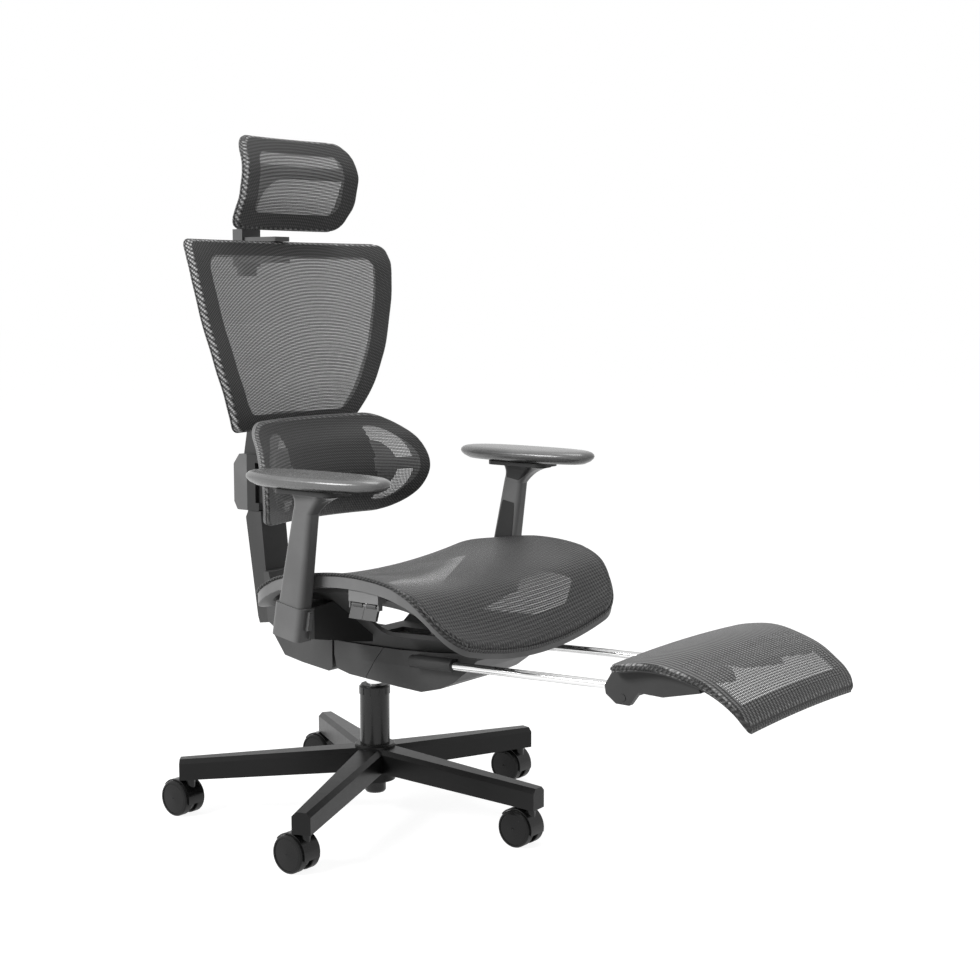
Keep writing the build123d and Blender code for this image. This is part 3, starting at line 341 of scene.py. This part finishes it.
# ---- tilt mechanism -----------------------------------------------------------------------------------
# Two moulded covers, parted at a diagonal seam, round a steel frame with the tilt shaft and its spring.
# The carrier of the back behind them and the arm of the lumbar pad are moulded in the same dark plastic.
dress(moulded("dark_plastic", 0.072, 0.42), "mechanism_cover_rear", "mechanism_cover_front",
      "back_carrier", "lumbar_arm")
dress(plain_steel, "mechanism_frame", "tilt_shaft", "arm_bar_left", "arm_bar_right", "spine_screws",
      "lumbar_pin", "headrest_pin")
dress(moulded("spring_rubber", 0.015, 0.7), "torsion_spring")

# ---- seat tray and rail -------------------------------------------------------------------------------
# The tray is a dark moulding with a window in each side. The rail above it is paler and smoother, and
# shows as one light line along the side of the seat.
rail_plastic = moulded("rail_plastic", 0.17, 0.36)
deep_plastic = moulded("deep_plastic", 0.042, 0.50)
dress(moulded("tray_plastic", 0.070, 0.50), "seat_tray")
dress(rail_plastic, "seat_frame")

# ---- seat mesh ----------------------------------------------------------------------------------------
# A charcoal polyester net, knitted open and stretched over the rail, with a close-woven margin and a
# corded edge that is sewn down on to the rail.


def through(knots, values):
    """A natural cubic through the points, as a function."""
    knots, values = np.array(knots, float), np.array(values, float)
    gap, rise = np.diff(knots), np.diff(values)
    system, right = np.eye(len(knots)), np.zeros(len(knots))
    for i in range(1, len(knots) - 1):
        system[i, i - 1:i + 2] = gap[i - 1], 2 * (gap[i - 1] + gap[i]), gap[i]
        right[i] = 6 * (rise[i] / gap[i] - rise[i - 1] / gap[i - 1])
    bend = np.linalg.solve(system, right)

    def at(place):
        i = np.clip(np.searchsorted(knots, place) - 1, 0, len(gap) - 1)
        t = place - knots[i]
        slope = rise[i] / gap[i] - gap[i] * (2 * bend[i] + bend[i + 1]) / 6
        return values[i] + t * (slope + t * (bend[i] / 2 + t * (bend[i + 1] - bend[i]) / (6 * gap[i])))
    return at


def unit(way):
    """The direction of a vector."""
    return way / np.linalg.norm(way)


def rounded(corners, steps=16):
    """One side of an outline, from corners of (half width, place along, radius)."""
    line = [(0.0, corners[0][1])] + [corner[:2] for corner in corners] + [(0.0, corners[-1][1])]
    side = []
    for before, (x, along, radius), after in zip(line[:-2], corners, line[2:]):
        here = np.array((x, along))
        if not radius:
            side.append(here)
            continue
        one, two = unit(np.array(before) - here), unit(np.array(after) - here)
        half = math.acos(float(one @ two)) / 2
        middle = here + unit(one + two) * radius / math.sin(half)
        rays = [here + way * radius / math.tan(half) - middle for way in (one, two)]
        for share in np.linspace(0, 1, steps):
            side.append(middle + unit(rays[0] * (1 - share) + rays[1] * share) * radius)
    return np.array(side)


def lying(x, along, height, sink):
    """A panel that one sits on: its place along is y, and what is behind it is below."""
    return np.stack([x, along, height - sink], 1) / 1000


def standing(x, along, height, sink):
    """A panel that one leans on: its place along is z, and what is behind it is at its rear."""
    return np.stack([x, height + sink, along], 1) / 1000


CORNER_SPAN = 40        # how far the rounded corners of a panel reach along it, in millimetres
STAND_OFF = 0.7         # how far the folded edge of a net stands off its frame, in millimetres
YARN = 0.0006           # thickness of a net, in metres
TURN = 2 * math.pi


def shown(mesh):
    """A new object that shows a mesh, shaded smooth."""
    piece = bpy.data.objects.new(mesh.name, mesh)
    bpy.context.collection.objects.link(piece)
    alone()
    piece.select_set(True)
    bpy.context.view_layer.objects.active = piece
    bpy.ops.object.shade_smooth()
    return piece


class Panel:
    """One stretched net, in millimetres.

    It has one side of its outline, its height along its middle line, what that gains away from the
    middle, and the way it is laid in the chair.
    """

    def __init__(self, side, profile, hollow, lay):
        self.side = side[np.argsort(side[:, 1])]
        self.loop = np.vstack([self.side, self.side[::-1] * (-1, 1)])
        self.profile, self.hollow, self.lay = profile, hollow, lay
        self.behind = lay(*np.array([[0.0], [0.0], [0.0], [1000.0]]))[0]

    def place(self, x, along, sink):
        """Points of the panel in metres, sunk behind its face."""
        return self.lay(x, along, self.profile(along) + self.hollow(x, along), sink)

    def from_edge(self, x, along):
        """How far each place is from the outline."""
        far = np.full(len(x), 1e9)
        for one, two in zip(self.loop, np.roll(self.loop, -1, 0)):
            run = two - one
            share = ((x - one[0]) * run[0] + (along - one[1]) * run[1]) / max(run @ run, 1e-9)
            near = one + np.clip(share, 0, 1)[:, None] * run
            far = np.minimum(far, np.hypot(x - near[:, 0], along - near[:, 1]))
        return far

    def in_window(self, x, along, window):
        """How far each place is inside the open part of the net.

        That part is given as (side margin, low margin, high margin, corner radius, half width of the
        closed middle).
        """
        aside, below, above, radius, closed = window
        low, high = self.side[[0, -1], 1]
        level = np.clip(along, low + CORNER_SPAN, high - CORNER_SPAN)
        half = np.interp(level, self.side[:, 1], self.side[:, 0])
        end = np.minimum(along - low - below, high - above - along)
        end = np.where(abs(x) < closed, -1.0, end)
        corner = np.hypot(np.maximum(radius - (half - abs(x) - aside), 0), np.maximum(radius - end, 0))
        return radius - corner

    def net(self, name, drop, window, roll=3.0, count=112):
        """The net itself, rolled over its frame's edge and down its side by the drop at each place."""
        alone()
        bpy.ops.mesh.primitive_grid_add(x_subdivisions=count, y_subdivisions=count, size=2)
        piece = bpy.context.object
        piece.name = name
        mesh = piece.data
        spots = np.empty(len(mesh.vertices) * 3)
        mesh.vertices.foreach_get("co", spots)
        grid = spots.reshape(-1, 3)[:, :2]
        # The outermost row of the grid is the fold, and the rows inside it crowd towards the edge.
        fold = (np.abs(grid) > 1 - 1e-4) * np.sign(grid)
        dense = np.sin(np.clip(grid / (1 - 2 / count), -1, 1) * math.pi / 2)
        ends = self.side[[0, -1], 1]
        along = ends.mean() + dense[:, 1] * (ends[1] - ends[0]) / 2
        x = dense[:, 0] * np.interp(along, self.side[:, 1], self.side[:, 0])
        edge = self.from_edge(x, along)
        skirt = np.interp(along, *zip(*drop))
        sink = roll - np.sqrt(roll ** 2 - (roll - np.minimum(edge, roll)) ** 2)
        laid = self.place(x + STAND_OFF * fold[:, 0], along + STAND_OFF * fold[:, 1],
                          sink + skirt * np.abs(fold).max(1))
        mesh.vertices.foreach_set("co", laid.ravel())
        steps = np.linspace(*ends, 400)
        run = np.concatenate([[0], np.cumsum(np.hypot(np.diff(steps), np.diff(self.profile(steps))))])
        flat = np.stack([x, np.interp(along, steps, run)], 1) + skirt[:, None] * fold
        corner = np.empty(len(mesh.loops), int)
        mesh.loops.foreach_get("vertex_index", corner)
        mesh.uv_layers.active.data.foreach_set("uv", (flat[corner] / 1000).ravel())
        for part, far in (("edge", edge), ("window", self.in_window(x, along, window))):
            mesh.attributes.new(part, "FLOAT", "POINT").data.foreach_set("value", far / 1000)
        mesh.update()
        if np.array(mesh.polygons[len(mesh.polygons) // 2].normal) @ self.behind > 0:
            mesh.flip_normals()
        wall = piece.modifiers.new("yarn", "SOLIDIFY")
        wall.thickness, wall.offset = YARN, -1.0
        bpy.ops.object.modifier_apply(modifier="yarn")
        bpy.ops.object.shade_smooth()
        return piece

    def hem(self, name, radius, drop, out=0.0, count=320, sides=8):
        """A cord sewn round the edge of the net, at the drop below it at each place."""
        ring = np.vstack([self.loop, self.loop[:1]])
        run = np.concatenate([[0], np.cumsum(np.hypot(*np.diff(ring, axis=0).T))])
        spot = np.linspace(0, run[-1], count, endpoint=False)
        x, along = (np.interp(spot, run, ring[:, k]) for k in (0, 1))
        line = self.place(x, along, np.interp(along, *zip(*drop)))
        way = np.roll(line, -1, 0) - np.roll(line, 1, 0)
        way /= np.linalg.norm(way, axis=1)[:, None]
        outward = np.cross(way, self.behind)
        outward /= np.linalg.norm(outward, axis=1)[:, None]
        if (outward * (line - line.mean(0))).sum() < 0:
            outward = -outward
        upward = np.cross(way, outward)
        line = line + outward * out / 1000
        turn = np.arange(sides) * TURN / sides
        rings = line[:, None] + radius / 1000 * (np.cos(turn)[None, :, None] * outward[:, None]
                                                 + np.sin(turn)[None, :, None] * upward[:, None])
        faces, flat = [], []
        for i in range(count):
            here, there = run[-1] * i / count / 1000, run[-1] * (i + 1) / count / 1000
            for k in range(sides):
                j, m = (i + 1) % count, (k + 1) % sides
                faces.append((i * sides + k, i * sides + m, j * sides + m, j * sides + k))
                low, high = k / sides, (k + 1) / sides
                flat += [(here, low), (here, high), (there, high), (there, low)]
        mesh = bpy.data.meshes.new(name)
        mesh.from_pydata(rings.reshape(-1, 3).tolist(), [], faces)
        mesh.uv_layers.new(name="UVMap").data.foreach_set("uv", np.array(flat).ravel())
        mesh.update()
        first = mesh.polygons[0]
        axis = mesh.vertices[0].co.lerp(mesh.vertices[sides // 2].co, 0.5)
        if first.normal.dot(first.center - axis) < 0:
            mesh.flip_normals()
        return shown(mesh)


HATCH = 0.0052          # metres from thread to thread of the close-woven margin
STITCH = 0.0085         # metres from stitch to stitch of the folded edge


def weave(name, pitch, yarns, opening, rows, ribs=(0.0037, 0.0), stitches=3.2, gloss=0.50):
    """A knitted net: close and dark in the margin that lies on its frame, open and paler in its window.

    The yarns are the greys of the margin and the window; the window's paler grey is painted light
    coming through the net. The rows of the knit, painted as arched bands of light and shade that also
    change how open the window is, are (their spacing, how strongly they show, how far they arch, where
    they peak), and the ribs that cross them are (their spacing, how strongly they show).
    """
    cloth = paint(name)
    flat = cloth.node("UVMap", {"uv_map": "UVMap"})
    across = cloth.node("SeparateXYZ", None, {"Vector": flat})
    along = cloth.node("SeparateXYZ", None, {"Vector": flat}, out=1)
    edge = cloth.node("Attribute", {"attribute_name": "edge"}, out=2)
    inside = cloth.node("Attribute", {"attribute_name": "window"}, out=2).ramp(-0.0008, 0.0014)
    knot = abs((across * (math.pi / pitch)).sin()) * abs((along * (math.pi / pitch)).sin())
    hole = knot.ramp(opening - 0.06, opening + 0.06)
    spacing, strength, arch, peak = rows
    aside = across - peak
    row = ((along + arch * aside * aside) * (TURN / spacing)).sin().ramp(-0.6, 0.6, -1.0, 1.0)
    rib = (across * (TURN / ribs[0])).sin().ramp(-0.6, 0.6, -1.0, 1.0)
    hatch = ((across + along) * (TURN / HATCH)).sin().ramp(-0.7, 0.9)
    sewn = ((across * 0.7 + along) * (TURN / STITCH)).sin().ramp(-0.3, 0.5) * edge.ramp(0.0035, 0.0015)
    strand = cloth.node("TexNoise", None, {"Vector": flat, "Scale": 900.0, "Detail": 3.0})
    wear = cloth.node("TexNoise", None, {"Vector": flat, "Scale": 14.0, "Detail": 3.0})
    close = yarns[0] * (0.45 + 1.1 * hatch + stitches * sewn)
    # The window's paler grey is painted light coming through the net, and the rows paint arched bands of
    # light and shade across it.
    light = close + (yarns[1] - close) * inside
    light = light * (1.0 + strength * row + ribs[1] * rib + 0.5 * (strand - 0.5) + 0.3 * (wear - 0.5))
    shader = cloth.tree.nodes["Principled BSDF"]
    cloth.join(shader.inputs["Base Color"], cloth.node("CombineXYZ", None, [light, light, light]))
    cloth.join(shader.inputs["Roughness"], gloss + 0.12 * (strand - 0.5))
    clear = 1.0 - 0.3 * strength + 0.3 * strength * row
    cloth.join(shader.inputs["Alpha"], 1.0 - inside * hole * clear)
    cloth.join(shader.inputs["Normal"], cloth.node("Bump", None, {
        "Strength": 0.5, "Distance": 0.0006, "Height": 1.0 - knot + 0.4 * hatch}))
    shader.inputs["Specular IOR Level"].default_value = 0.30
    shader.inputs["Sheen Weight"].default_value = 0.08
    shader.inputs["Sheen Roughness"].default_value = 0.4
    return cloth.owner


def corded(name, yarn, lay=0.0066):
    """The twisted cord that closes the edge of a net, with its lay in metres."""
    rope = paint(name)
    flat = rope.node("UVMap", {"uv_map": "UVMap"})
    along = rope.node("SeparateXYZ", None, {"Vector": flat}) / lay
    around = rope.node("SeparateXYZ", None, {"Vector": flat}, out=1)
    strand = ((along + around) * TURN).sin()
    fuzz = rope.node("TexNoise", None, {"Vector": flat, "Scale": 700.0, "Detail": 3.0})
    shader = rope.tree.nodes["Principled BSDF"]
    # The grooves of the twist are painted dark as painted shade, and the crowns of the strands lighter as
    # painted highlight.
    hollow, crown = grey(yarn * 0.15), grey(yarn * 2.6)
    rope.join(shader.inputs["Base Color"], rope.mix(strand.ramp(-0.2, 0.5), hollow, crown))
    rope.join(shader.inputs["Roughness"], 0.55 + 0.2 * (fuzz - 0.5))
    rope.join(shader.inputs["Normal"], rope.node("Bump", None, {
        "Strength": 0.8, "Distance": 0.0009, "Height": strand}))
    return rope.owner


def stretch(piece, cord, body, stands_for):
    """The net and its cord go with a body and take the place of the plain sheet."""
    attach(piece, body)
    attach(cord, body)
    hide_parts(stands_for)


SEAT_HALF = 250
seat_along = [-345, -325, -300, -260, -200, -130, -60, 0, 40, 78]
seat_profile = through(seat_along, [388, 405, 430, 450, 460, 460, 452, 440, 420, 400])
seat_dish = through(seat_along, [45, 36, 22, 18, 22, 24, 24, 20, 16, 10])
seat = Panel(rounded([(238, -343, 66), (SEAT_HALF, -262, 0), (SEAT_HALF, -150, 0), (228, 74, 62)]),
             seat_profile, lambda x, along: -seat_dish(along) * (1 - (x / SEAT_HALF) ** 2), lying)
seat_net = seat.net("seat_net", [(-300, 11.0), (-250, 3.0)], (10, 10, 10, 40, 0))
seat_net.data.materials.append(weave("seat_weave", 0.0028, (0.036, 0.070), 0.65,
                                     (0.0054, 0.40, 0.25, 0.1), (0.0064, 0.65), stitches=0.6, gloss=0.46))
seat_hem = seat.hem("seat_hem", 2.0, [(-300, 11.0), (-250, 2.5)], 0.9)
seat_hem.data.materials.append(corded("seat_cord", 0.016))
stretch(seat_net, seat_hem, "seat", "seat_mesh")

# ---- controls -----------------------------------------------------------------------------------------
# A pale moulded block fixed under the right rail, with two sprung levers of darker plastic hinged below
# it, one for height and one for recline.
dress(moulded("control_plastic", 0.20, 0.40), "control_block")
dress(moulded("paddle_plastic", 0.075, 0.38), "height_paddle", "recline_paddle")

# ---- armrests -----------------------------------------------------------------------------------------
# Leaning posts of satin grey nylon that slide in a collar, with a release bar in front and a flared head
# that carries the plate of the pad. The halves of the posts, brackets and buttons nearer the seat are
# painted darker as painted shade.
SHADED_INNER_HALF = 0.2525     # how far from the chair's middle the darker halves reach
arm_plastic = moulded("arm_plastic", 0.14, 0.34, painted_shade=("x", SHADED_INNER_HALF, 0.22))
plate_plastic = moulded("plate_plastic", 0.035, 0.45)
for side in ("left", "right"):
    dress(arm_plastic, f"arm_bracket_{side}", f"arm_post_{side}", f"arm_button_{side}")
    dress(plate_plastic, f"pad_plate_{side}")

# ---- arm pads -----------------------------------------------------------------------------------------
# Soft polyurethane moulded round a stiff core: a long oval with a slightly crowned top, a rolled edge
# that catches the light and an underside that draws in.
PAD_HALF_LENGTH = 136.0
PAD_HALF_WIDTH = 49.0
PAD_ENDS = 1.25         # how much more its ends are drawn in than its sides
PAD_STEPS = 128         # corners of each ring
PAD_RINGS = [(26, 0.0), (13, 1.2), (5, 6.0), (1.2, 10.5), (0, 14.0), (0.9, 17.2), (3.6, 20.2),
             (8.5, 22.2), (17, 23.2), (29, 23.8), (40, 24.0)]       # (inset, height above the underside)


def arm_pad(side):
    """One pad, made ring by ring from its underside up to its crown."""
    low, high = (np.array(corner) * 1000 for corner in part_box(f"arm_pad_{side}"))
    middle = (low + high) / 2
    turn = np.arange(PAD_STEPS) * TURN / PAD_STEPS
    across = np.sign(np.cos(turn)) * abs(np.cos(turn)) ** 0.86
    ahead = np.sign(np.sin(turn)) * abs(np.sin(turn)) ** 0.80
    points = [np.stack([middle[0] + across * (PAD_HALF_WIDTH - inset),
                        middle[1] + ahead * (PAD_HALF_LENGTH - PAD_ENDS * inset),
                        np.full(PAD_STEPS, low[2] + height)], 1) for inset, height in PAD_RINGS]
    faces = [(r * PAD_STEPS + i, r * PAD_STEPS + j, (r + 1) * PAD_STEPS + j, (r + 1) * PAD_STEPS + i)
             for r in range(len(PAD_RINGS) - 1)
             for i, j in zip(range(PAD_STEPS), [*range(1, PAD_STEPS), 0])]
    crown = (len(PAD_RINGS) - 1) * PAD_STEPS
    faces += [tuple(range(PAD_STEPS - 1, -1, -1)), tuple(range(crown, crown + PAD_STEPS))]
    mesh = bpy.data.meshes.new(f"arm_cushion_{side}")
    mesh.from_pydata((np.vstack(points) / 1000).tolist(), [], faces)
    mesh.update()
    piece = shown(mesh)
    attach(piece, f"pad_{side}")
    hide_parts(f"arm_pad_{side}")
    return piece


# The underside of each pad, up to this height, is painted darker as painted shade.
SHADED_UNDERSIDE_TOP = 0.5935  # how high above the floor the dark underside of a pad reaches
pad_skin = moulded("arm_pu", 0.115, 0.27, 1300.0, 0.00006, shine=0.7, painted_shade=("z", SHADED_UNDERSIDE_TOP, 0.15))
for side in ("left", "right"):
    arm_pad(side).data.materials.append(pad_skin)

# ---- back support -------------------------------------------------------------------------------------
# A spine bolted to the carrier behind the gas lift, and the block that the back slides on it with, which
# is pale behind, and darker in front as painted shade of the recess there.
dress(moulded("spine_plastic", 0.055, 0.42), "spine_post")
SHADED_BLOCK_FRONT = 0.262     # how far behind the gas lift the dark front of the block reaches
dress(moulded("block_plastic", 0.15, 0.36, painted_shade=("y", SHADED_BLOCK_FRONT, 0.2)), "height_block")

# ---- back ---------------------------------------------------------------------------------------------
# A moulded ring, wide at the shoulders and drawn in to the waist, wrapped in the same net. Light comes
# through the open middle, in rows that follow the knit.
dress(deep_plastic, "back_frame")
BACK_HALF = 240
back_profile = through([644, 665, 690, 720, 750, 780, 810, 840, 870, 900, 930, 964],
                       [154, 147, 141, 137, 138, 139, 143, 147, 150, 155, 161, 177])
flank = through([690, 735, 780, 811, 850, 890, 932],
                [164.3, 187.0, 205.4, 215.8, 226.4, 234.6, 240.3])
back_outline = [(138, 648, 20), (164, 690, 0)]
back_outline += [(float(flank(z)), z, 0) for z in range(702, 931, 12)]
back_outline += [(BACK_HALF, 932, 0), (236, 962, 16)]
back = Panel(rounded(back_outline), back_profile,
             lambda x, along: 26 * (1 - (x / BACK_HALF) ** 2), standing)
back_net = back.net("back_net", [(0, 14.0)], (38, 26, 23, 26, 0))
back_net.data.materials.append(weave("back_weave", 0.0026, (0.040, 0.200), 0.59,
                                     (0.0058, 0.45, 1.5, 0.06), stitches=7.0))
back_hem = back.hem("back_hem", 1.6, [(0, 14.5)], 0.3)
hem_cord = corded("hem_cord", 0.045)
back_hem.data.materials.append(hem_cord)
stretch(back_net, back_hem, "back", "back_mesh")

# ---- lumbar pad ---------------------------------------------------------------------------------------
# A wing-shaped pad that rocks on its arm: a pale hoop with a stiffening brace and the net drawn over it,
# which is knitted open near its ends only.
dress(rail_plastic, "lumbar_frame")
LUMBAR_HALF = 204
lumbar_profile = through([496, 510, 530, 550, 570, 590, 610, 630, 650, 669],
                         [125, 114, 102, 97, 95, 98, 105, 115, 133, 145])
lumbar = Panel(rounded([(LUMBAR_HALF, 498, 84), (LUMBAR_HALF, 667, 84)], 40), lumbar_profile,
               lambda x, along: -54 * (x / LUMBAR_HALF) ** 2, standing)
lumbar_net = lumbar.net("lumbar_net", [(0, 6.0)], (18, 20, 20, 60, 105))
lumbar_net.data.materials.append(weave("lumbar_weave", 0.0026, (0.036, 0.160), 0.56,
                                       (0.0055, 0.3, 0.4, 0.0)))
lumbar_hem = lumbar.hem("lumbar_hem", 1.3, [(0, 8.0)], 0.2)
lumbar_hem.data.materials.append(corded("pale_cord", 0.16, 0.003))
stretch(lumbar_net, lumbar_hem, "lumbar", "lumbar_mesh")

# ---- headrest -----------------------------------------------------------------------------------------
# A small curved pad on a bent stem of pale plastic: the same ring and net as the back, and a tilting
# joint in a bracket behind it.
dress(rail_plastic, "headrest_stem")
dress(moulded("grey_plastic", 0.105, 0.40), "headrest_bracket")
dress(deep_plastic, "headrest_frame")
HEAD_HALF = 133
head_profile = through([982, 1010, 1030, 1050, 1070, 1090, 1110, 1135],
                       [180, 164, 152, 147, 143, 145, 153, 167])
head = Panel(rounded([(125, 984, 24), (HEAD_HALF, 1020, 0), (134, 1075, 0), (126, 1133, 36)]),
             head_profile, lambda x, along: 14 * (1 - (x / HEAD_HALF) ** 2), standing)
head_net = head.net("headrest_net", [(0, 13.0)], (32, 25, 25, 18, 0), count=96)
head_net.data.materials.append(weave("headrest_weave", 0.0026, (0.034, 0.200), 0.58,
                                     (0.0058, 0.45, 1.0, 0.0), stitches=5.0))
head_hem = head.hem("headrest_hem", 1.5, [(0, 13.0)], 0.3, 220)
head_hem.data.materials.append(hem_cord)
stretch(head_net, head_hem, "headrest", "headrest_mesh")

# ---- footrest -----------------------------------------------------------------------------------------
# A crowned tray on two chromed rods: the net is sewn over it with a thick cord, rolls over its front and
# is open ahead of the tray.
dress(deep_plastic, "footrest_frame", "footrest_shaft", "footrest_socket_left", "footrest_socket_right")
FOOT_HALF = 188
foot_profile = through([-796, -787, -770, -744, -720, -695, -670, -643, -618, -587],
                       [301, 319, 336, 353, 363, 370, 375, 376, 373, 367])
foot = Panel(rounded([(162, -794, 12), (FOOT_HALF, -590, 12)]), foot_profile,
             lambda x, along: 5 * (1 - (x / FOOT_HALF) ** 2), lying)
foot_net = foot.net("footrest_net", [(0, 7.0)], (18, 8, 92, 16, 0))
foot_net.data.materials.append(weave("footrest_weave", 0.0042, (0.080, 0.135), 0.56,
                                     (0.0035, 0.15, 0.1, 0.0), (0.0084, 0.80), stitches=1.0))
foot_hem = foot.hem("footrest_hem", 2.6, [(0, 6.0)], -0.2, 280)
foot_hem.data.materials.append(corded("footrest_cord", 0.020))
stretch(foot_net, foot_hem, "footrest", "footrest_mesh")
